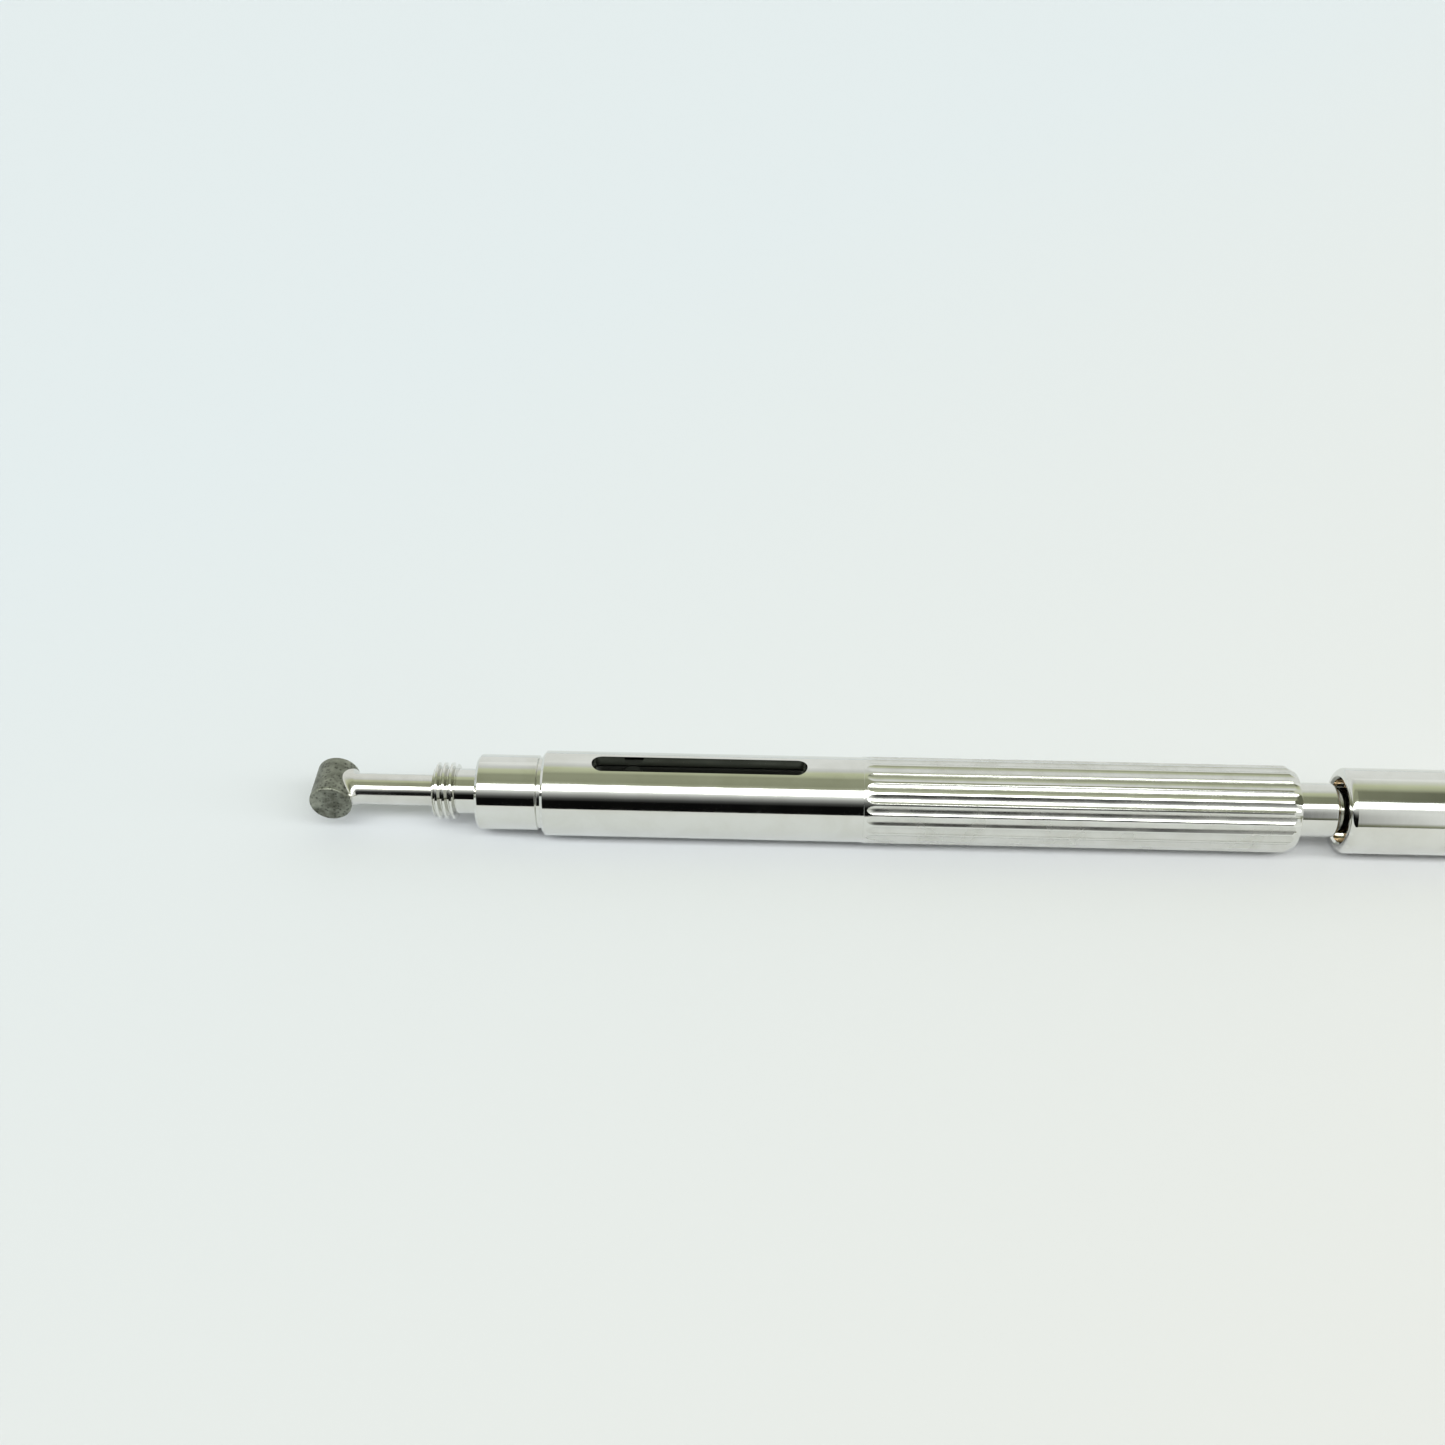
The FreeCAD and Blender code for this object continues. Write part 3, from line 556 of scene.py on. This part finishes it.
def makeThread(sizes, front):
    # one pitch of the thread's outline, screwed round the axis, then cut to length with its ends closed
    root, crest = sizes["threadRadius"] - sizes["threadDepth"], sizes["threadRadius"] + 0.001
    flank = (sizes["threadPitch"] - sizes["crest"] - sizes["root"]) / 2
    deselectAll()
    bpy.ops.mesh.primitive_plane_add(size=1, location=(front - 3 * sizes["threadPitch"], 0, axisHeight))
    thread = bpy.context.active_object
    thread.name = "noseThread"
    bpy.ops.object.mode_set(mode="EDIT")
    bpy.ops.mesh.select_all(action="SELECT")
    bpy.ops.mesh.merge(type="CENTER")
    bpy.ops.mesh.select_all(action="SELECT")
    bpy.ops.transform.translate(value=(0, 0, root))
    for move in ((sizes["root"], 0, 0), (flank, 0, crest - root), (sizes["crest"], 0, 0),
                 (flank, 0, root - crest)):
        bpy.ops.mesh.extrude_region_move(TRANSFORM_OT_translate={"value": move})
    bpy.ops.object.mode_set(mode="OBJECT")
    screw = thread.modifiers.new("screw", "SCREW")
    screw.axis = "X"
    screw.screw_offset = sizes["threadPitch"]
    screw.iterations = sizes["threadTurns"]
    screw.steps = screw.render_steps = sizes["threadSides"]
    screw.use_merge_vertices = True
    bpy.ops.object.modifier_apply(modifier=screw.name)
    applyPlace(thread)
    bpy.ops.object.mode_set(mode="EDIT")
    bpy.ops.mesh.select_all(action="SELECT")
    bpy.ops.mesh.remove_doubles(threshold=0.002)
    for place, facing in ((front - sizes["threadPitch"], -1), (front + 4.5 * sizes["threadPitch"], 1)):
        bpy.ops.mesh.select_all(action="SELECT")
        bpy.ops.mesh.bisect(plane_co=(place, 0, axisHeight), plane_no=(facing, 0, 0), use_fill=True,
                            clear_outer=True)
    closeUp(thread)
    return thread


def makeNose(sizes):
    front, rear, _ = span("nose_collar")
    threadEnd = front + sizes["threadLength"]
    collarFront = threadEnd + sizes["undercutLength"]
    collarRear = collarFront + sizes["collarLength"]
    grooveAt = collarRear - sizes["groovePlace"]
    grooveRadius = sizes["collarRadius"] - sizes["grooveDepth"]
    noseFront = threadEnd - sizes["overlap"]
    threaded = makeThread(sizes, front)
    ring = turnPiece("threadRing", [
        (front, sizes["bore"] + sizes["boreChamfer"]),
        (front, sizes["threadRadius"] - sizes["threadChamfer"]),
        (front + sizes["threadChamfer"], sizes["threadRadius"]),
        (threadEnd - sizes["threadEndLength"], sizes["threadRadius"]),
        (threadEnd, sizes["threadRadius"] - sizes["threadEndFall"]),
        (threadEnd, sizes["bore"]), (front + sizes["boreChamfer"], sizes["bore"]),
    ], sides=sizes["threadSides"])
    combine(threaded, ring, "INTERSECT")
    nose = turnPiece("threadedNose", [
        (noseFront, sizes["bore"]), (noseFront, sizes["undercutRadius"]),
        (collarFront, sizes["undercutRadius"], sizes["undercutRounding"]),
        (collarFront, sizes["collarRadius"] - sizes["collarEdge"], sizes["faceRounding"]),
        (collarFront + sizes["collarEdge"], sizes["collarRadius"], sizes["collarRounding"]),
        (grooveAt, sizes["collarRadius"], sizes["lipRounding"]),
        (grooveAt + sizes["grooveSlope"], grooveRadius, sizes["grooveRounding"]),
        (collarRear, grooveRadius),
        (collarRear, sizes["tailRadius"]), (rear, sizes["tailRadius"]), (rear, sizes["bushSeat"]),
        (rear - sizes["bushLength"], sizes["bushSeat"]), (rear - sizes["bushLength"], sizes["bore"]),
    ])
    combine(nose, threaded, "UNION")
    finishPiece(nose, "nose_collar", "handle", brightPlate)


headSizes = {
    "edge": 0.25, "edgeSteps": 6, "sides": 96, "spigotRadius": 0.7, "spigotLength": 0.8,
}


def makeHead(sizes):
    low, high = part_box("bit_head")
    middle, radius = (low.x + high.x) / 2 * mm, (high.x - low.x) / 2 * mm
    length = (high.y - low.y) * mm
    shankRadius = span("bit_shank")[2]
    shoulder = middle + math.sqrt(radius ** 2 - shankRadius ** 2)
    deselectAll()
    bpy.ops.mesh.primitive_cylinder_add(vertices=sizes["sides"], radius=radius, depth=length,
                                        end_fill_type="NGON", location=(middle, 0, axisHeight),
                                        rotation=(math.pi / 2, 0, 0))
    head = bpy.context.active_object
    head.name = head.data.name = "crossBar"
    applyPlace(head)
    selectEdges(head, lambda start, end: abs(start.y - end.y) < fine)
    bpy.ops.mesh.bevel(offset=sizes["edge"], segments=sizes["edgeSteps"], profile=0.5)
    bpy.ops.object.mode_set(mode="OBJECT")
    seat = turnPiece("headSeat", [
        (shoulder - sizes["spigotLength"], sizes["spigotRadius"]), (shoulder, sizes["spigotRadius"]),
        (shoulder, shankRadius), (middle + 2 * radius, shankRadius),
    ], sides=sizes["sides"], closed=False)
    combine(head, seat)
    finishPiece(head, "bit_head", "spindle", sinteredGrey)


shankSizes = {
    "sides": 96, "flareLength": 0.5, "flareAcross": 0.42, "flareUp": 0.2, "flareSteps": 10,
    "flatLength": 3.8, "flatHeight": 0.85, "cutterReach": 2, "firstStep": 0.01, "near": 0.001,
}


def makeShank(sizes):
    # the rod, its spigot in the head, the flared joint that follows the head's round surface, and the flat
    low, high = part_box("bit_head")
    headMiddle, headRadius = (low.x + high.x) / 2 * mm, (high.x - low.x) / 2 * mm
    front, rear, radius = span("bit_shank")
    shoulder = headMiddle + math.sqrt(headRadius ** 2 - radius ** 2)
    halfLength, edge = (high.y - low.y) / 2 * mm, headSizes["edge"]
    shank = turnPiece("bladeShank", [
        (front, headSizes["spigotRadius"]), (shoulder, headSizes["spigotRadius"]), (shoulder, radius),
    ], sides=sizes["sides"], closed=False)

    def headSurface(across, up):
        # how far ahead of the bar's middle its surface is, rounded rims included
        beyond = max(abs(across) - (halfLength - edge), 0)
        rimRadius = headRadius - edge + math.sqrt(max(edge ** 2 - beyond ** 2, 0))
        return math.sqrt(max(rimRadius ** 2 - up ** 2, 0))

    def flare(angle, turn):
        # turn 0 lies on the head's surface and 1 on the rod
        bend = turn * math.pi / 2
        spread = 1 - math.sin(bend)
        across = (radius + sizes["flareAcross"] * spread) * math.sin(angle)
        up = (radius + sizes["flareUp"] * spread) * math.cos(angle)
        ahead = headSurface(across, up) + sizes["flareLength"] * (1 - math.cos(bend))
        return Vector((headMiddle + ahead, across, axisHeight + up))

    def rim(angle):
        across, up = radius * math.sin(angle), radius * math.cos(angle)
        return Vector((headMiddle + headSurface(across, up), across, axisHeight + up))

    def rearRim(angle):
        return Vector((rear, radius * math.sin(angle), axisHeight + radius * math.cos(angle)))

    makeActive(shank)
    bpy.ops.object.mode_set(mode="EDIT")
    bpy.ops.mesh.select_mode(type="FACE")
    bpy.ops.mesh.select_all(action="DESELECT")
    cage = bmesh.from_edit_mesh(shank.data)
    for face in cage.faces:
        if abs(face.calc_center_median().x - shoulder) < sizes["near"] and len(face.verts) == sizes["sides"]:
            face.select_set(True)
    bpy.ops.mesh.delete(type="ONLY_FACE")
    bpy.ops.mesh.select_mode(type="VERT")
    cage = bmesh.from_edit_mesh(shank.data)
    for point in cage.verts:
        outwards = math.hypot(point.co.y, point.co.z - axisHeight)
        point.select_set(abs(point.co.x - shoulder) < sizes["near"] and outwards > radius - fine)
    cage.select_flush(True)
    rings = [rim] + [lambda angle, turn=step / sizes["flareSteps"]: flare(angle, turn)
                     for step in range(sizes["flareSteps"] + 1)]
    rings.append(rearRim)
    for ring in rings:
        bpy.ops.mesh.extrude_region_move(TRANSFORM_OT_translate={"value": (sizes["firstStep"], 0, 0)})
        cage = bmesh.from_edit_mesh(shank.data)
        for point in cage.verts:
            if point.select:
                point.co = ring(math.atan2(point.co.y, point.co.z - axisHeight))
        bmesh.update_edit_mesh(shank.data)
    closeUp(shank)
    reach = sizes["cutterReach"]
    flat = block("flatCutter", (rear - sizes["flatLength"], -reach, axisHeight + sizes["flatHeight"]),
                 (rear + past, reach, axisHeight + reach))
    combine(shank, flat)
    finishPiece(shank, "bit_shank", "spindle", polishedSteel)


postSizes = {
    "seatRadius": 2.25, "seatLength": 7.0, "neckRadius": 1.9, "neckEdge": 0.3, "neckLead": 0.3,
    "reliefRadius": 1.6, "lipPast": 0.025, "bossRadius": 1.4, "boss": 0.3, "journalRadius": 1.0,
    "screwRadius": 0.6,
}


def makePost(sizes):
    front, rear, _ = span("swivel_post")
    raceFront = span("bearing_inner_race")[0]
    screwFront = span("bearing_screw")[0]
    capFront = span("cap_shell")[0]
    seatEnd, neckEnd = front + sizes["seatLength"], raceFront - sizes["boss"]
    reliefFront, reliefRear = capFront - sizes["neckLead"], capFront + capSizes["lip"] - sizes["lipPast"]
    post = turnPiece("swivelPost", [
        (front, sizes["seatRadius"]), (seatEnd, sizes["seatRadius"]), (seatEnd, sizes["neckRadius"]),
        (reliefFront, sizes["neckRadius"], sizes["neckEdge"]), (reliefFront, sizes["reliefRadius"]),
        (reliefRear, sizes["reliefRadius"]), (reliefRear, sizes["neckRadius"]),
        (neckEnd, sizes["neckRadius"]),
        (neckEnd, sizes["bossRadius"]), (raceFront, sizes["bossRadius"]), (raceFront, sizes["journalRadius"]),
        (rear, sizes["journalRadius"]), (rear, sizes["screwRadius"]), (screwFront, sizes["screwRadius"]),
    ], closed=False)
    finishPiece(post, "swivel_post", "handle", brightPlate)


capSizes = {
    "radius": 3.0, "rounding": 0.45, "bore": 2.5, "mouth": 2.25, "mouthChamfer": 0.15, "lip": 1.2,
    "edge": 0.45, "seam": 0.05, "dishRadius": 2.3, "dishDepth": 0.35, "dishRounding": 0.12, "dishSlope": 0.8,
    "dishCurve": 1.0, "centre": 0.05, "sides": 192, "steps": 8, "mouthRounding": 0.06,
}


def makeCapShell(sizes):
    front, rear, _ = span("cap_shell")
    shell = turnPiece("capShell", [
        (front, sizes["mouth"] + sizes["mouthChamfer"], sizes["mouthRounding"]),
        (front, sizes["radius"], sizes["rounding"]), (rear - sizes["seam"], sizes["radius"]),
        (rear, sizes["radius"] - sizes["seam"]), (rear, sizes["bore"]),
        (front + sizes["lip"], sizes["bore"]), (front + sizes["lip"], sizes["mouth"]),
        (front + sizes["mouthChamfer"], sizes["mouth"]),
    ], sides=sizes["sides"], steps=sizes["steps"])
    finishPiece(shell, "cap_shell", "cap", brightPlate)


def makeCapPlug(sizes):
    front, rear, _ = span("cap_plug")
    flange = span("cap_shell")[1]
    plug = turnPiece("capPlug", [
        (front, sizes["bore"]), (flange, sizes["bore"]), (flange, sizes["radius"] - sizes["seam"]),
        (flange + sizes["seam"], sizes["radius"]), (rear, sizes["radius"], sizes["edge"]),
        (rear, sizes["dishRadius"], sizes["dishRounding"]),
        (rear - sizes["dishDepth"], sizes["dishRadius"] - sizes["dishSlope"], sizes["dishCurve"]),
        (rear - sizes["dishDepth"], sizes["centre"]),
    ], sides=sizes["sides"], closed=False, steps=sizes["steps"])
    finishPiece(plug, "cap_plug", "cap", brightPlate)


makeBarrel(barrelSizes)
makeNose(noseSizes)
makeHead(headSizes)
makeShank(shankSizes)
makePost(postSizes)
makeCapShell(capSizes)
makeCapPlug(capSizes)
print("pieces made")


studioLook = {
    "floorSize": 3.0, "floorCool": (0.666, 0.703, 0.760, 1), "floorWarm": (0.701, 0.695, 0.708, 1),
    "floorRoughness": 0.7, "floorShine": 0.2, "tintFrom": -0.11, "tintTo": 0.07,
    "skyStrength": 1.0, "capFrom": 0.28, "capTo": 0.38,
}
# the studio's light by the angle from the near horizon over the top to the far one, in degrees
neutral, olive = (0.97, 1.0, 0.97), (0.98, 1.05, 0.72)
skySteps = [
    (0, 0.004, neutral), (23, 0.004, neutral), (30.5, 0.085, neutral), (38, 0.33, neutral),
    (47, 0.78, neutral), (50, 1.3, neutral), (51.5, 6.5, neutral), (65, 6.5, neutral),
    (67, 0.7, neutral), (69, 0.40, olive),
    (75.5, 0.31, olive), (90, 0.34, olive), (98, 0.33, olive), (105, 0.52, olive), (115, 0.60, olive),
    (125, 0.68, neutral), (136, 0.86, neutral), (180, 0.86, neutral),
]
# the same beyond the cap, where the near side is lighter
capSkySteps = [
    (0, 0.20, olive), (4, 0.30, olive), (12, 0.85, neutral), (38, 0.90, neutral), (47, 0.80, neutral),
    (50, 1.3, neutral), (51.5, 6.5, neutral), (65, 6.5, neutral), (67, 0.5, neutral), (70, 0.15, olive),
    (95, 0.16, olive), (105, 0.45, olive), (115, 0.60, olive), (136, 0.86, neutral), (180, 0.86, neutral),
]


def makeFloor(look):
    deselectAll()
    bpy.ops.mesh.primitive_plane_add(size=look["floorSize"])
    floor = bpy.context.active_object
    floor.name = "floor"
    material = bpy.data.materials.new("paleFloor")
    material.use_nodes = True
    tree = material.node_tree
    shader = tree.nodes["Principled BSDF"]
    shader.inputs["Roughness"].default_value = look["floorRoughness"]
    shader.inputs["Specular IOR Level"].default_value = look["floorShine"]
    place = tree.nodes.new("ShaderNodeTexCoord")
    split = tree.nodes.new("ShaderNodeSeparateXYZ")
    across = addNode(tree, "ShaderNodeMath", {"operation": "SUBTRACT"})
    gradient = addNode(tree, "ShaderNodeMapRange", From_Min=look["tintFrom"], From_Max=look["tintTo"])
    tint = addNode(tree, "ShaderNodeMix", {"data_type": "RGBA"})
    tint.inputs["A"].default_value = look["floorCool"]
    tint.inputs["B"].default_value = look["floorWarm"]
    tree.links.new(place.outputs["Object"], split.inputs[0])
    tree.links.new(split.outputs["X"], across.inputs[0])
    tree.links.new(split.outputs["Y"], across.inputs[1])
    tree.links.new(across.outputs[0], gradient.inputs["Value"])
    tree.links.new(gradient.outputs[0], tint.inputs["Factor"])
    tree.links.new(tint.outputs["Result"], shader.inputs["Base Color"])
    floor.data.materials.append(material)


def makeSky(look):
    world = bpy.data.worlds.new("studio")
    bpy.context.scene.world = world
    world.use_nodes = True
    tree = world.node_tree
    link = tree.links.new
    background = tree.nodes["Background"]
    background.inputs["Strength"].default_value = look["skyStrength"]
    place = tree.nodes.new("ShaderNodeTexCoord")
    split = tree.nodes.new("ShaderNodeSeparateXYZ")
    towards = addNode(tree, "ShaderNodeMath", {"operation": "MULTIPLY"})
    towards.inputs[1].default_value = -1
    angle = addNode(tree, "ShaderNodeMath", {"operation": "ARCTAN2"})
    share = addNode(tree, "ShaderNodeMapRange", From_Min=0.0, From_Max=math.pi)
    link(place.outputs["Generated"], split.inputs[0])
    link(split.outputs["Y"], towards.inputs[0])
    link(split.outputs["Z"], angle.inputs[0])
    link(towards.outputs[0], angle.inputs[1])
    link(angle.outputs[0], share.inputs["Value"])

    def ramp(steps):
        brightest = max(value for _, value, _ in steps)
        node = tree.nodes.new("ShaderNodeValToRGB")
        elements = node.color_ramp.elements
        while len(elements) < len(steps):
            elements.new(0.5)
        for element, (degrees, value, tint) in zip(elements, steps):
            element.position = degrees / 180
            element.color = (*(value / brightest * part for part in tint), 1)
        link(share.outputs[0], node.inputs[0])
        scaled = addNode(tree, "ShaderNodeVectorMath", {"operation": "SCALE"})
        scaled.inputs["Scale"].default_value = brightest
        link(node.outputs[0], scaled.inputs[0])
        return scaled.outputs[0]

    ahead = ramp(skySteps)
    beyondCap = ramp(capSkySteps)
    towardsCap = addNode(tree, "ShaderNodeMapRange", From_Min=look["capFrom"], From_Max=look["capTo"])
    mix = addNode(tree, "ShaderNodeMix", {"data_type": "RGBA"})
    link(split.outputs["X"], towardsCap.inputs["Value"])
    link(towardsCap.outputs[0], mix.inputs["Factor"])
    link(ahead, mix.inputs["A"])
    link(beyondCap, mix.inputs["B"])
    link(mix.outputs["Result"], background.inputs["Color"])


cameraPlace = {
    "aim": (-13.5, 0, 3.03), "ahead": 84.4, "above": 80.3, "turn": 1.85, "pitch": 49.0,
    "lens": 41.1, "sensor": 36, "nearest": 0.001, "furthest": 20,
}


def makeCamera(look):
    turn = math.radians(look["turn"])
    x, y, z = look["aim"]
    back = look["ahead"]
    place = ((x + math.sin(turn) * back) / mm, (y - math.cos(turn) * back) / mm, (z + look["above"]) / mm)
    deselectAll()
    bpy.ops.object.camera_add(location=place, rotation=(math.radians(look["pitch"]), 0, turn))
    camera = bpy.context.active_object
    camera.data.lens = look["lens"]
    camera.data.sensor_width = look["sensor"]
    camera.data.clip_start = look["nearest"]
    camera.data.clip_end = look["furthest"]
    bpy.context.scene.camera = camera


makeFloor(studioLook)
makeSky(studioLook)
makeCamera(cameraPlace)
bpy.context.scene.view_settings.view_transform = "Standard"
print("studio made")
